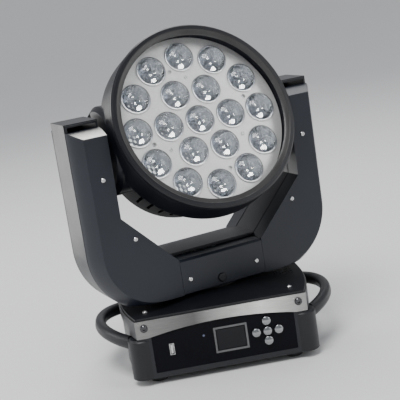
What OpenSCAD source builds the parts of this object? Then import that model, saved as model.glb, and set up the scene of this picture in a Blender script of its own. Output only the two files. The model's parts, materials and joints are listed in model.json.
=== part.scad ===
// Moving head wash light: base on rubber feet, panning yoke, tilting head
// with nineteen lenses on a plate that slides to zoom the beam.
// Origin: on the pan axis, in the mounting plane at the underside of the base plate,
// at the centre of the four bracket holes. The feet stand below it.
// +Z up, -Y towards the control panel side, +X to the right of someone facing it.

/* [Rest pose] */
// Yoke angle about the vertical pan axis, degrees
pan_rest = 19.67; // [-180:0.01:180]
// Beam elevation above horizontal, degrees
tilt_elevation = 24.2; // [-40:0.1:90]

/* [Base] */
// Half width of the base at its front and rear corners
base_half_w = 112; // [110:1:114]
// How far each side bows outwards at mid depth
base_bow = 16; // [12:1:18]
// Base depth without the trim
base_d = 214.8; // [212:0.2:218]
// Height of the top edge of the silver trim
trim_top = 90; // [88:0.5:92]
// Wall thickness of the base shell
base_wall = 2.5; // [2:0.5:3]
// Height of the rubber feet
foot_h = 9; // [8:0.5:9]
// Thickness (height) of the side handles
handle_h = 18; // [16:1:20]
// Angle at which the handles rise outwards, degrees
handle_rise = 11; // [0:1:14]
// Radius of the bow of a handle
handle_bow_r = 107.1; // [106:0.1:109]

/* [Yoke] */
// Half width of the yoke across the flat cover faces
arm_face_x = 165; // [163:0.5:166]
// How much wider the centre casing is than the cover faces, per side
arm_flare = 14; // [10:0.5:14]
// Half width of the gap between the arms
arm_inner_x = 133; // [132:0.5:134]
// Half depth over the arm covers
yoke_half_d = 52.8; // [51:0.2:54]
// Half depth of the centre casing
casing_half_d = 27; // [26.5:0.1:27]
// Height of the arm cover tops
arm_top = 344; // [342:1:346]
// How far the centre casing stands above the arm covers
casing_rise = 10; // [0:0.5:11]
// How far the centre casing stands above the cross bar covers
cross_rise = 4.5; // [0:0.5:5]
// Height of the tilt axis
tilt_height = 306.2; // [305:0.1:307]

/* [Head] */
// Outer radius of the front ring
ring_r = 126.5; // [125:0.5:127]
// Distance from the tilt axis to the front of the ring
ring_front = 75; // [74:0.5:76]
// Pitch radius of the outer row of lenses
outer_row_r = 90; // [89.5:0.1:90]
// Pitch radius of the inner row of lenses
inner_row_r = 45.6; // [45:0.1:46.5]
// Radius of one lens
lens_r = 20.3; // [18:0.1:20.6]
// Radius of the round shoulders on the tilt axis
shoulder_r = 60; // [58:1:61]

/* [Display] */
// Width of the display frame
display_w = 44.5; // [42:0.5:46]
// Height of the display frame
display_h = 35; // [33:0.5:36]
// Radius of one menu button
button_r = 5.9; // [5:0.1:6]

/* [Hidden] */
$fn = 96;
black = [0.09,0.095,0.11];
dark = [0.05,0.05,0.055];
silver = [0.72,0.72,0.73];
steel = [0.5,0.5,0.52];

// Drive parts shared by the base, yoke and head
spindle_r = 17;
trunnion_r = 12;
pan_bearing_r = 23;
tilt_bearing_r = 18;
pan_pulley_r = 38;
tilt_pulley_r = 31;
motor_pulley_r = 8;
pulley_h = 9;
belt_h = 8;
pan_pulley_z = 126;
tilt_pulley_x = 148.3;

// ---------- frames and helpers ----------
// Parts are drawn with the feet at height 0, then lowered so that the
// underside of the base plate is the origin.
module raise(z) translate([0,0,z]) children();
module placed() raise(-foot_h) children();
module in_yoke() rotate([0,0,pan_rest]) children();
// Head frame: +Z along the beam, X along the tilt axis.
module in_head() in_yoke() raise(tilt_height) rotate([90-tilt_elevation,0,0]) children();
// Outline drawn in x, z and extruded along Y.
module extrude_y(from, to) translate([0,to,0]) rotate([90,0,0]) linear_extrude(to-from) children();
// Outline drawn in y, z and extruded along X.
module extrude_x(from, to) translate([from,0,0]) rotate([90,0,90]) linear_extrude(to-from) children();
module at_corners(x, y) for (i=[-1,1], j=[-1,1]) translate([i*x,j*y,0]) children();
module around(radius, angles) for (a=angles) rotate([0,0,a]) translate([radius,0,0]) children();
// Turns the child onto the X axis, filling x to x+length on the right and its match on the left.
module both_ends(x, length) for (side=[-1,1])
  translate([side>0 ? x : -x-length,0,0]) rotate([0,90,0]) children();
module tube(outer_r, inner_r, height) difference() {
  cylinder(r=outer_r, h=height);
  raise(-1) cylinder(r=inner_r, h=height+2);
}
module pan_head(radius, height, hex_r) difference() {
  union() {
    cylinder(r=radius, h=height*0.55);
    raise(height*0.55) cylinder(r1=radius, r2=radius*0.72, h=height*0.45);
  }
  raise(height*0.4) cylinder(r=hex_r, h=height, $fn=6);
}
module toothed(radius, height, bore, teeth) difference() {
  cylinder(r=radius, h=height);
  raise(-1) cylinder(r=bore, h=height+2);
  around(radius+0.35, [for (k=[0:teeth-1]) k*360/teeth])
    raise(-1) cylinder(r=1.05, h=height+2, $fn=24);
}

// ---------- base ----------
base_half_d = base_d/2;
base_h = 90;
side_r = (base_half_d*base_half_d + base_bow*base_bow)/(2*base_bow);
side_centre_x = base_half_w + base_bow - side_r;
foot_x = 92;
foot_y = 84;
bridge_x = 70;
bridge_y = 42;
bridge_top = 84;
bridge_t = 4;
cover_z = base_h + 0.05;
cover_t = 3;
cover_screw_x = 97;
cover_screw_y = 84;
trim_t = 2;
trim_bottom = 66;
trim_bolt_x = 102.4;
trim_bolt_z = 80;
front_arch_r = 540;
front_arch_top = 75;
side_arch_r = 300;
side_arch_top = 76;
guard_x = 108;
guard_y = 92;
guard_r = 18;
handle_z = 52.5;
handle_w = 14.5;
// Openings in the front and rear walls, filled by the panels
window_w = 190;
window_z = 16;
window_h = 71;
panel_gap = 0.1;
panel_t = 2.4;

// Plan of the base, grown outwards: straight front and rear, sides bowed to an arc.
module base_plan(grow=0) intersection() {
  square([400, base_d + 2*grow], center=true);
  translate([side_centre_x,0]) circle(r=side_r+grow, $fn=240);
  translate([-side_centre_x,0]) circle(r=side_r+grow, $fn=240);
}
// Bottom plate with the bridge that carries the pan spindle, one welded frame.
module base_frame() color(dark) difference() {
  union() {
    raise(foot_h) linear_extrude(2) base_plan(-base_wall-0.4);
    translate([-bridge_x,-bridge_y,bridge_top-bridge_t]) cube([2*bridge_x,2*bridge_y,bridge_t]);
    for (x=[-bridge_x,bridge_x-bridge_t])
      translate([x,-bridge_y,foot_h+1]) cube([bridge_t,2*bridge_y,72]);
  }
  // bracket holes, a single hole at +Y, a row of slots, the spindle hole
  at_corners(84, 45) cylinder(r=5.2, h=40);
  translate([0,84,0]) cylinder(r=6, h=40);
  for (x=[-40:8:40]) translate([x-1.5,-62,0]) cube([3,24,40]);
  raise(70) cylinder(r=13, h=30);
}
module rubber_feet() color([0.04,0.04,0.04]) at_corners(foot_x, foot_y) union() {
  cylinder(r1=11, r2=12.5, h=3);
  raise(3) cylinder(r=12.5, h=foot_h-3);
}
module trim_bolt_holes(side, length) for (x=[-trim_bolt_x,trim_bolt_x])
  translate([x,side*base_half_d,trim_bolt_z]) rotate([90,0,0])
    cylinder(r=2.6, h=length, center=true);
module base_shell() color(black) difference() {
  raise(foot_h) linear_extrude(base_h-foot_h) base_plan();
  raise(foot_h-1) linear_extrude(100) base_plan(-base_wall);
  translate([-window_w/2,-150,window_z]) cube([window_w,300,window_h]);
  for (s=[-1,1]) trim_bolt_holes(s, 14);
  // slots in the side walls
  for (s=[-1,1], y=[-36:12:36]) translate([s*126,y-3,72]) cube([30,6,3],center=true);
}
module base_top_cover() color(black) difference() {
  union() {
    raise(cover_z) linear_extrude(cover_t) base_plan();
    raise(cover_z+cover_t) cylinder(r1=106.5, r2=66, h=5, $fn=160);
    raise(98) cylinder(r=46, h=2.4);
  }
  raise(89) cylinder(r=21, h=20);
  raise(90) cylinder(r1=103, r2=60, h=5.2, $fn=160);
  // chequered field of slots on each side
  for (s=[-1,1], i=[0:6], j=[0:9]) if ((i+j)%2==0)
    translate([s*(88+i*4.2), -20+j*4.6, 88]) cube([2.4,2.6,14]);
  at_corners(cover_screw_x, cover_screw_y) raise(89) cylinder(r=1.8, h=6);
}
module top_cover_screws() color(silver) at_corners(cover_screw_x, cover_screw_y)
  raise(cover_z+cover_t+0.1) pan_head(radius=3.4, height=2.4, hex_r=1.3);
// Silver band: a U-shaped strip around the front half (side -1) or rear half (side 1).
module trim_strip(side) difference() {
  raise(trim_bottom) linear_extrude(trim_top-trim_bottom) base_plan(trim_t);
  raise(60) linear_extrude(40) base_plan(0.05);
  translate([-200, side<0 ? -0.3 : -399.7, 60]) cube([400,400,40]);
  // arched lower edge across the face and along each side
  extrude_y(-200, 200) translate([0,front_arch_top-front_arch_r])
    circle(r=front_arch_r, $fn=360);
  raise(side_arch_top-side_arch_r) rotate([0,90,0])
    cylinder(r=side_arch_r, h=400, center=true, $fn=360);
  trim_bolt_holes(side, 20);
}
module trim_front() color(silver) trim_strip(-1);
module trim_rear() color(silver) trim_strip(1);
module trim_bolts() color([0.08,0.08,0.08]) for (s=[-1,1], x=[-trim_bolt_x,trim_bolt_x])
  translate([x,s*(base_half_d+trim_t+0.1),trim_bolt_z]) rotate([s*-90,0,0]) union() {
    pan_head(radius=5, height=3.2, hex_r=2.2);
    raise(-8) cylinder(r=2.5, h=8.2);
  }
// Corner guards that also take the ends of the handles.
module corner_guards() color(dark) difference() {
  at_corners(guard_x, guard_y) raise(foot_h) union() {
    cylinder(r=guard_r, h=52);
    raise(52) cylinder(r1=guard_r, r2=15, h=3);
  }
  linear_extrude(100) base_plan(0.06);
}
// Stadium section of a handle.
module handle_section() {
  straight = handle_h-handle_w;
  square([handle_w,straight],center=true);
  for (q=[-1,1]) translate([0,q*straight/2]) circle(r=handle_w/2,$fn=48);
}
// Right handle: one round sweep from corner guard to corner guard, rising outwards.
module handle() difference() {
  translate([guard_x,0,handle_z]) rotate([0,-handle_rise,0]) translate([-54.8,0,0])
    rotate([0,0,-60]) rotate_extrude(angle=120, $fn=240)
      translate([handle_bow_r,0]) handle_section();
  linear_extrude(100) base_plan(0.1);
  at_corners(guard_x, guard_y) cylinder(r=guard_r+0.1, h=100);
}
module handle_left() color(dark) mirror([1,0,0]) handle();
module handle_right() color(dark) handle();

// ---------- control panel, at -Y ----------
display_x = 8.75;
display_z = 46.35;
button_x = 57.3;
button_z = 47;
// x, z from the centre button: up, down, left, right, enter
button_places = [[0,14.2],[0,-13.2],[-15,0],[15,0],[0,0]];
usb_x = -70.2;
usb_z = 45.3;
light_x = -26.8;
light_z = 55.8;

module panel_plate(y) translate([panel_gap-window_w/2,y,window_z+panel_gap])
  cube([window_w-2*panel_gap,panel_t,window_h-2*panel_gap]);
module panel_hole(x, z, radius) translate([x,-120,z]) rotate([-90,0,0]) cylinder(r=radius, h=30);
// Block the size of the display frame less an inset, from y towards +Y.
module display_block(inset, y, depth)
  translate([display_x-display_w/2+inset,y,display_z-display_h/2+inset])
    cube([display_w-2*inset,depth,display_h-2*inset]);
module front_panel() color(dark) difference() {
  panel_plate(-base_half_d);
  display_block(3.5, -120, 30);
  for (p=button_places) panel_hole(button_x+p[0], button_z+p[1], button_r+0.25);
  translate([usb_x-3.4,-120,usb_z-8]) cube([6.8,30,16]);
  panel_hole(light_x, light_z, 1.6);
}
module display_frame() color([0.35,0.36,0.38]) difference() {
  display_block(0, -base_half_d-1.3, 1.25);
  display_block(2.6, -120, 30);
}
module display_glass() color([0.03,0.03,0.04]) display_block(3.6, -base_half_d-0.6, 2.2);
// Domed push button: cap, stem and a flange that keeps it behind the panel.
module button(index) color(silver)
  translate([button_x+button_places[index][0],-base_half_d,button_z+button_places[index][1]])
    rotate([90,0,0]) union() {
      intersection() {
        raise(-1.4) cylinder(r=button_r, h=10);
        raise(-5.2) sphere(r=9.4,$fn=96);
      }
      raise(-2.3) cylinder(r=button_r, h=1);
      raise(-5) cylinder(r=button_r+0.6, h=1.5);
      raise(-4) cylinder(r=button_r, h=2);
      raise(-8) cylinder(r=2, h=4);
    }
module button_up() button(0);
module button_down() button(1);
module button_left() button(2);
module button_right() button(3);
module button_enter() button(4);
module usb_port() color(silver) translate([usb_x,-base_half_d-0.6,usb_z]) union() {
  difference() {
    translate([-3.2,0,-7.7]) cube([6.4,14,15.4]);
    translate([-2.6,-1,-7.1]) cube([5.2,14,14.2]);
  }
  translate([-1.5,0.8,-5.8]) cube([2.6,13,11.6]);
}
module status_light() color([0.2,0.5,0.9])
  translate([light_x,-base_half_d-0.5,light_z]) rotate([-90,0,0]) cylinder(r=1.5, h=4);

// ---------- rear panel, at +Y, and base interior ----------
power_x = [74,40];
data_x = [-38,-72];
socket_z = 46;
barrel_r = 12;

module rear_panel() color(dark) difference() {
  panel_plate(base_half_d-panel_t);
  for (x=concat(power_x, data_x))
    translate([x,120,socket_z]) rotate([90,0,0]) cylinder(r=barrel_r+0.2, h=30);
}
// Chassis socket: flange outside the panel, barrel inside, contacts in a ring.
module socket(x, contacts, keyed) translate([x,base_half_d+0.05,socket_z]) rotate([-90,0,0]) {
  difference() {
    union() {
      translate([-13,-15.5,0]) cube([26,31,2]);
      raise(-18) cylinder(r=barrel_r, h=19);
    }
    raise(-15) cylinder(r=10.2, h=30);
    for (q=[-1,1]) translate([q*9.5,q*12,-1]) cylinder(r=1.6, h=9);
  }
  around(5, [for (k=[0:contacts-1]) k*360/contacts+90]) raise(-15.5) cylinder(r=1.4, h=12);
  if (keyed) difference() {
    raise(-15.5) cylinder(r=4.2, h=14);
    raise(-12) cylinder(r=3, h=20);
  }
}
module power_sockets() color([0.1,0.25,0.6]) for (x=power_x) socket(x, contacts=3, keyed=true);
module data_sockets() color(dark) for (x=data_x) socket(x, contacts=5, keyed=false);
module power_supply() color(silver) difference() {
  translate([-60,-22,13]) cube([120,84,40]);
  for (x=[-50:10:50]) translate([x-2,-12,50]) cube([4,60,6]);
}
// Upright board behind the control panel with two blocks on its +Y face.
module control_board() color([0.05,0.3,0.15]) union() {
  translate([-62,-97,20]) cube([126,1.6,60]);
  translate([-40,-95.5,30]) cube([18,3,18]);
  translate([10,-95.5,56]) cube([40,6,9]);
}
// Fixed hollow spindle: the yoke turns on it and the cables pass through it.
module pan_spindle() color(silver) raise(bridge_top+0.05) difference() {
  union() {
    cylinder(r=30, h=4);
    cylinder(r=spindle_r, h=60);
  }
  raise(-1) cylinder(r=13, h=80);
  around(24, [45:90:359]) raise(-1) cylinder(r=2.2, h=10);
}
module pan_pulley() color(silver) in_yoke() raise(pan_pulley_z)
  toothed(pan_pulley_r, pulley_h, bore=spindle_r+0.04, teeth=60);

// ---------- yoke ----------
// Centre of the rounded lower corners
corner_x = 89;
corner_z = 179;
face_r = arm_face_x - corner_x;
casing_x = arm_face_x + arm_flare;
yoke_bottom = 102;
cover_bottom = yoke_bottom + 0.5;
cross_top = 151;
// Sloping corners of the gap, from (diag_x, cross_top) to (arm_inner_x, diag_z)
diag_x = 62;
diag_z = 225;
diag_a = atan2(diag_z - cross_top, arm_inner_x - diag_x);
seam_y = casing_half_d + 0.3;
top_drop = 9;
bevel_steps = 6;
arm_wall = 2.6;
bearing_z = 105;
pan_motor_x = -110;
pan_plate_z = 137;
tilt_motor_z = 155;
tilt_plate_x = 138.1;
motor_plate_t = 3;
motor_half_w = 21;
pilot_r = 11;
// x, z of the screws in the right arm cover, and in the right half of a centre cover
arm_screws = [[148,279.5],[118,194.5]];
centre_screw = [50.4,122.5];
lock_x = -4;
lock_z = 113;
lock_r = 6;

module yoke_outline(inset) difference() {
  half_w = casing_x - inset;
  union() {
    translate([-half_w,corner_z]) square([2*half_w,arm_top+casing_rise-inset-corner_z]);
    for (q=[-1,1]) translate([q*corner_x,corner_z])
      circle(r=face_r+arm_flare-inset, $fn=240);
    translate([-corner_x,50]) square([2*corner_x,corner_z-49]);
  }
  translate([-400,yoke_bottom+inset-400]) square([800,400]);
}
// Opening between the arms, grown outwards, its floor raised by lift.
module yoke_gap(grow, lift=0) {
  side_x = arm_inner_x+grow;
  right = [
    [side_x, 500],
    [side_x, diag_z-grow*(1-sin(diag_a))/cos(diag_a)],
    [diag_x+lift/tan(diag_a)+grow*(1-cos(diag_a))/sin(diag_a), cross_top+lift-grow]];
  polygon(concat(right, [for (i=[2:-1:0]) [-right[i][0],right[i][1]]]));
}
module yoke_slab(half_d, inset, gap_grow) extrude_y(-half_d, half_d) difference() {
  yoke_outline(inset);
  yoke_gap(gap_grow, cross_rise);
}
// Hollow centre casing with bearing seats and motor plates.
module yoke_frame() color(black) in_yoke() difference() {
  union() {
    difference() {
      union() {
        yoke_slab(casing_half_d-1.6, 0, 0);
        yoke_slab(casing_half_d, 1.4, 0.6);
      }
      yoke_slab(60, 4, 3.6);
    }
    // bearing seats for the tilt axis and the pan axis
    raise(tilt_height) both_ends(134, 12) cylinder(r=24, h=12);
    raise(103) cylinder(r=26.8, h=18);
    // motor plates
    translate([tilt_plate_x,-25,104]) cube([motor_plate_t,50,126]);
    intersection() {
      translate([-175,-25,pan_plate_z]) cube([109,50,motor_plate_t]);
      extrude_y(-26, 26) yoke_outline(2);
    }
  }
  raise(tilt_height) both_ends(120, 40) cylinder(r=tilt_bearing_r+0.05, h=40);
  raise(bearing_z) cylinder(r=pan_bearing_r+0.05, h=30);
  raise(90) cylinder(r=19, h=30);
  translate([130,0,tilt_motor_z]) rotate([0,90,0]) cylinder(r=pilot_r+0.3, h=20);
  translate([pan_motor_x,0,130]) cylinder(r=pilot_r+0.3, h=20);
}
// Bevel of the arm covers, from the flat face (step 0) out to the seam (last step).
function bevel_out(step) = arm_flare*(1-pow(1-step/bevel_steps,1.35));
function bevel_y(step, inset) =
  -yoke_half_d + (yoke_half_d-seam_y)*(step/bevel_steps) + inset*(1-step/bevel_steps);
// Front right arm cover body, walls inset; open towards the seam when inset > 0.
module arm_cover_body(inset) {
  open = inset>0;
  over = open ? 1 : 0;
  back_y = -seam_y+over;
  face_y = -yoke_half_d+inset;
  side_in = inset*1.15;
  top_in = inset*1.1;
  bottom = cover_bottom+inset;
  difference() {
    intersection() {
      // plan, x and y
      raise(90) linear_extrude(300) polygon(concat(
        [[diag_x+0.4+inset,back_y],[diag_x+0.4+inset,face_y]],
        [for (i=[0:bevel_steps]) [arm_face_x+bevel_out(i)-side_in, bevel_y(i,inset)]],
        open ? [[casing_x-side_in,back_y]] : []));
      // side view, y and z
      extrude_x(0, 300) polygon(concat(
        [[back_y,90],[face_y,90]],
        [for (i=[0:bevel_steps])
          [bevel_y(i,inset), arm_top-top_drop+top_drop*bevel_out(i)/arm_flare-top_in]],
        open ? [[back_y,arm_top-top_in]] : []));
      // front view with the rounded lower corner
      union() {
        translate([0,-60,corner_z]) cube([300,60,300]);
        translate([0,-60,bottom]) cube([corner_x,60,100]);
        intersection() {
          translate([corner_x,0,corner_z]) rotate([90,0,0]) rotate_extrude($fn=200)
            polygon(concat(
              [[0,-face_y],[0,-back_y]],
              open ? [[face_r+arm_flare-side_in,-back_y]] : [],
              [for (i=[bevel_steps:-1:0])
                [face_r+bevel_out(i)-side_in, -bevel_y(i,inset)]]));
          translate([corner_x-1,-60,bottom]) cube([200,60,corner_z-yoke_bottom]);
        }
      }
    }
    extrude_y(-80, 0) yoke_gap(inset);
  }
}
module cover_hole(x, z, radius) translate([x,-40,z]) rotate([90,0,0]) cylinder(r=radius, h=20);
module arm_cover() difference() {
  arm_cover_body(0);
  arm_cover_body(arm_wall);
  for (p=arm_screws) cover_hole(p[0], p[1], 2.1);
}
module arm_cover_front_right() color(black) in_yoke() arm_cover();
module arm_cover_front_left() color(black) in_yoke() mirror([1,0,0]) arm_cover();
module arm_cover_rear_right() color(black) in_yoke() mirror([0,1,0]) arm_cover();
module arm_cover_rear_left() color(black) in_yoke() mirror([0,1,0]) mirror([1,0,0]) arm_cover();
module centre_cover(lock_hole) difference() {
  // outer and inner sections, y and z
  extrude_x(-diag_x, diag_x) polygon([
    [-seam_y,cover_bottom], [-yoke_half_d+1.5,cover_bottom], [-yoke_half_d,yoke_bottom+2],
    [-yoke_half_d,cross_top-3], [-yoke_half_d+3,cross_top], [-seam_y,cross_top]]);
  extrude_x(-diag_x+2.5, diag_x-2.5) polygon([
    [-seam_y+1,yoke_bottom+1], [-yoke_half_d+2.5,yoke_bottom+1],
    [-yoke_half_d+2.5,cross_top-4], [-yoke_half_d+4,cross_top-2.5], [-seam_y+1,cross_top-2.5]]
    + [[0,2],[0,2],[0,0],[0,0],[0,0]]);
  for (q=[-1,1]) cover_hole(q*centre_screw[0], centre_screw[1], 2.1);
  if (lock_hole) cover_hole(lock_x, lock_z, lock_r+0.3);
}
module centre_cover_front() color(black) in_yoke() centre_cover(lock_hole=true);
module centre_cover_rear() color(black) in_yoke() mirror([0,1,0]) centre_cover(lock_hole=false);
module cover_screws() color(silver) in_yoke() for (s=[0,1]) mirror([0,s,0])
  for (q=[-1,1], p=concat(arm_screws,[centre_screw]))
    translate([q*p[0],-yoke_half_d-0.05,p[1]]) rotate([90,0,0]) union() {
      pan_head(radius=3.1, height=2, hex_r=1.2);
      raise(-9) cylinder(r=2, h=9.2);
    }
module pan_lock_button() color(dark) in_yoke()
  translate([lock_x,-yoke_half_d,lock_z]) rotate([90,0,0]) union() {
    raise(-9) cylinder(r=lock_r, h=11);
    raise(2) cylinder(r1=lock_r, r2=4.8, h=1);
    raise(-9) cylinder(r=7.6, h=3);
  }

// ---------- pan and tilt drives ----------
// Wedge opening along +X.
module wedge(half_angle) {
  x = 60*cos(half_angle);
  y = 60*sin(half_angle);
  polygon([[0,0],[x,y],[90,y],[90,-y],[x,-y]]);
}
// Belt around a big wheel at the origin and a small one along +X: two bends, two straight runs.
module belt(big_r, small_r, distance) {
  bend = acos((big_r-small_r)/distance);
  run = sqrt(distance*distance-(big_r-small_r)*(big_r-small_r))+2;
  linear_extrude(belt_h) difference() {
    circle(r=big_r+1.7);
    circle(r=big_r+0.15);
    wedge(bend);
  }
  translate([distance,0,0]) linear_extrude(belt_h) intersection() {
    difference() {
      circle(r=small_r+1.7);
      circle(r=small_r+0.15);
    }
    wedge(bend);
  }
  rotate([0,0,bend-90]) translate([-1,big_r+0.3,0]) cube([run,1.25,belt_h]);
  rotate([0,0,90-bend]) translate([-1,-big_r-1.55,0]) cube([run,1.25,belt_h]);
}
// Square motor body below z = 0, its round pilot above.
module motor(length) color(dark) difference() {
  union() {
    translate([-motor_half_w,-motor_half_w,-length])
      cube([2*motor_half_w,2*motor_half_w,length]);
    cylinder(r=pilot_r, h=2);
  }
  at_corners(motor_half_w, motor_half_w) raise(-length-1) rotate([0,0,45])
    cube([6,6,2*length+4],center=true);
  raise(-1) cylinder(r=2.7, h=10);
}
module motor_pulley() toothed(motor_pulley_r, pulley_h, bore=2, teeth=12);
module pan_motor() in_yoke() translate([pan_motor_x,0,pan_plate_z+motor_plate_t+0.1])
  rotate([180,0,0]) motor(33);
module pan_motor_pulley() color(silver) in_yoke() translate([pan_motor_x,0,pan_pulley_z]) union() {
  motor_pulley();
  cylinder(r=2.5, h=14.9);
}
module pan_belt() color(dark) in_yoke() raise(pan_pulley_z+0.5) rotate([0,0,180])
  belt(pan_pulley_r, motor_pulley_r, -pan_motor_x);
module tilt_motor() in_yoke() translate([tilt_plate_x-0.1,0,tilt_motor_z])
  rotate([0,90,0]) motor(40);
module tilt_motor_pulley() color(silver) in_yoke()
  translate([tilt_pulley_x-10,0,tilt_motor_z]) rotate([0,90,0]) union() {
    raise(10) motor_pulley();
    cylinder(r=2.5, h=19);
  }
module tilt_belt() color(dark) in_yoke() translate([tilt_pulley_x+0.5,0,tilt_height])
  rotate([0,90,0]) belt(tilt_pulley_r, motor_pulley_r, tilt_height-tilt_motor_z);
// Two rings carry the yoke on the spindle, one ring in each arm carries the head.
module yoke_bearings() color(steel) in_yoke() {
  for (z=[bearing_z+0.1,bearing_z+8.2]) raise(z) tube(pan_bearing_r, spindle_r+0.05, 7);
  raise(tilt_height) both_ends(137, 8) tube(tilt_bearing_r, trunnion_r+0.05, 8);
}

// ---------- head ----------
split_z = 4;
head_rear_z = -92;
shoulder_x = 126;
rear_edge_r = 12;
plate_z = 50;
plate_t = 2.5;
lens_z = plate_z + plate_t + 0.05;
chassis_z = 11.9;
chassis_top = 16;
chassis_t = 4;
// Zoom screws and guide rods share one pitch circle
zoom_pitch_r = 75;
zoom_rod_r = 3;
zoom_rod_top = 49.5;
screw_start_z = 3.2;
drive_angles = [15,195];
rod_angles = [105,285];
zoom_angles = concat(drive_angles, rod_angles);
fan_half_w = 46;
lens_places = concat([[0,0]],
  [for (a=[0:60:300]) [inner_row_r*cos(a),inner_row_r*sin(a)]],
  [for (a=[0:30:330]) [outer_row_r*cos(a),outer_row_r*sin(a)]]);

// Radius, z: rounded rear edge, tapering body, cone out to the drum.
function head_profile(inset) = concat(
  [[0,head_rear_z+inset]],
  [for (a=[-90:15:-6])
    [84+(rear_edge_r-inset)*cos(a), head_rear_z+rear_edge_r+(rear_edge_r-inset)*sin(a)]],
  [[104-inset*0.98,split_z+inset*0.4], [128-inset,28+inset*0.4], [128-inset,36]],
  [[ring_r-inset,67], [0,67]]);
// Radius, distance along the tilt axis.
function shoulder_profile(inset) = [
  [0,-shoulder_x+inset], [shoulder_r-6-inset*0.4,-shoulder_x+inset],
  [shoulder_r-inset,-120+inset*0.6], [shoulder_r-inset,120-inset*0.6],
  [shoulder_r-6-inset*0.4,shoulder_x-inset], [0,shoulder_x-inset]];
module head_solid(inset) union() {
  rotate_extrude($fn=200) polygon(head_profile(inset));
  rotate([0,90,0]) rotate_extrude($fn=144) polygon(shoulder_profile(inset));
}
module head_shell() difference() {
  head_solid(0);
  head_solid(3);
  raise(60) cylinder(r=ring_r-3, h=20);
  rotate([0,90,0]) cylinder(r=20, h=300, center=true);
}
// Part of the shell in the 200 mm above z.
module shell_part(z) intersection() {
  head_shell();
  translate([-200,-200,z]) cube([400,400,200]);
}
module head_drum() color(black) in_head() shell_part(split_z+0.1);
module head_rear_cover() color(black) in_head() difference() {
  shell_part(split_z-0.1-200);
  raise(-100) cylinder(r=42, h=20);
  // cooling slots around the rear body
  around(90, [for (a=[0:10:350]) if (abs(((a+90)%180)-90)>34) a])
    translate([0,-2,-66]) cube([30,4,40]);
  around(56, [0:45:359]) translate([0,-10,-100]) cube([3,20,20]);
}
// Front ring with the light-trap sleeve that surrounds the lens plate.
module front_ring() color(black) in_head() union() {
  // radius, z
  rotate_extrude($fn=200) polygon([
    [113,70.4], [118.3,67.9], [120.2,66.9], [120.5,67.1], [ring_r-0.5,67.1],
    [ring_r,67.8], [ring_r,72.8], [ring_r-2,ring_front], [ring_r-6.5,ring_front],
    [ring_r-7.5,ring_front-1], [114.6,73], [113,71.6]]);
  raise(40) tube(120.4, 118.2, 28.4);
}
module lens_plate() color(silver) in_head() difference() {
  union() {
    raise(plate_z) cylinder(r=117.4, h=plate_t, $fn=160);
    around(zoom_pitch_r, zoom_angles) raise(30) cylinder(r=5.5, h=21);
  }
  for (p=lens_places) translate([p[0],p[1],40]) cylinder(r=17.4, h=20);
  around(zoom_pitch_r, zoom_angles) raise(20) cylinder(r=zoom_rod_r+0.05, h=40);
}
// Flat flange with a domed front.
module lenses() color([0.85,0.88,0.92]) in_head()
  for (p=lens_places) translate([p[0],p[1],lens_z]) union() {
    cylinder(r=lens_r, h=2);
    raise(2) intersection() {
      cylinder(r=lens_r-0.5, h=12);
      raise(-17.9) sphere(r=27,$fn=120);
    }
  }
module lens_plate_screws() color(steel) in_head() around(61, [90,210,330])
  raise(lens_z) pan_head(radius=2.6, height=1.8, hex_r=1.1);
module led_board() color([0.92,0.93,0.92]) in_head() union() {
  difference() {
    raise(chassis_top+0.05) cylinder(r=97, h=1.6);
    around(zoom_pitch_r, zoom_angles) cylinder(r=5.5, h=40);
  }
  // one emitter and collimating cone behind each lens
  for (p=lens_places) translate([p[0],p[1],17]) union() {
    translate([-3.5,-3.5,0]) cube([7,7,2.4]);
    raise(2.2) cylinder(r1=4.6, r2=8, h=14);
  }
}
// Rigid chassis disc with side brackets, hollow trunnions and two zoom guide rods.
module head_chassis() color(silver) in_head() difference() {
  union() {
    raise(chassis_z) cylinder(r=104, h=chassis_top-chassis_z);
    for (q=[-1,1]) {
      translate([q>0 ? 90 : -116,-28,chassis_z]) cube([26,56,chassis_t]);
      translate([q>0 ? 112 : -116,-28,-28]) cube([chassis_t,56,43]);
    }
    both_ends(115.9, 4) cylinder(r=18, h=4);
    both_ends(115, 44) cylinder(r=trunnion_r, h=44);
    around(zoom_pitch_r, rod_angles) raise(12) cylinder(r=zoom_rod_r, h=zoom_rod_top-12);
  }
  around(zoom_pitch_r, drive_angles) cylinder(r=4.5, h=30);
  translate([-170,0,0]) rotate([0,90,0]) cylinder(r=7, h=340);
}
// Finned block behind the light sources, with pockets for the zoom motors.
module heat_sink() color([0.6,0.6,0.62]) in_head() difference() {
  intersection() {
    union() {
      raise(4) cylinder(r=84, h=7.85);
      for (x=[-78:6.5:78]) translate([x-1.1,-90,-38]) cube([2.2,180,44]);
    }
    raise(-60) cylinder(r=84, h=100);
  }
  around(zoom_pitch_r, drive_angles) raise(-60) cylinder(r=11, h=90);
}
module tilt_pulley() color(silver) in_head() translate([tilt_pulley_x,0,0]) rotate([0,90,0])
  toothed(tilt_pulley_r, pulley_h, bore=trunnion_r+0.04, teeth=50);
module zoom_motors() color(steel) in_head() around(zoom_pitch_r, drive_angles) difference() {
  union() {
    raise(-12) cylinder(r=9.5, h=23.8);
    raise(9.8) cylinder(r=4.4, h=5);
  }
  raise(3) cylinder(r=zoom_rod_r+0.05, h=20);
}
module zoom_screw(angle) in_head() around(zoom_pitch_r, [angle])
  raise(screw_start_z) cylinder(r=zoom_rod_r, h=zoom_rod_top-screw_start_z);
module zoom_screw_right() color(silver) zoom_screw(drive_angles[0]);
module zoom_screw_left() color(silver) zoom_screw(drive_angles[1]);
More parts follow.
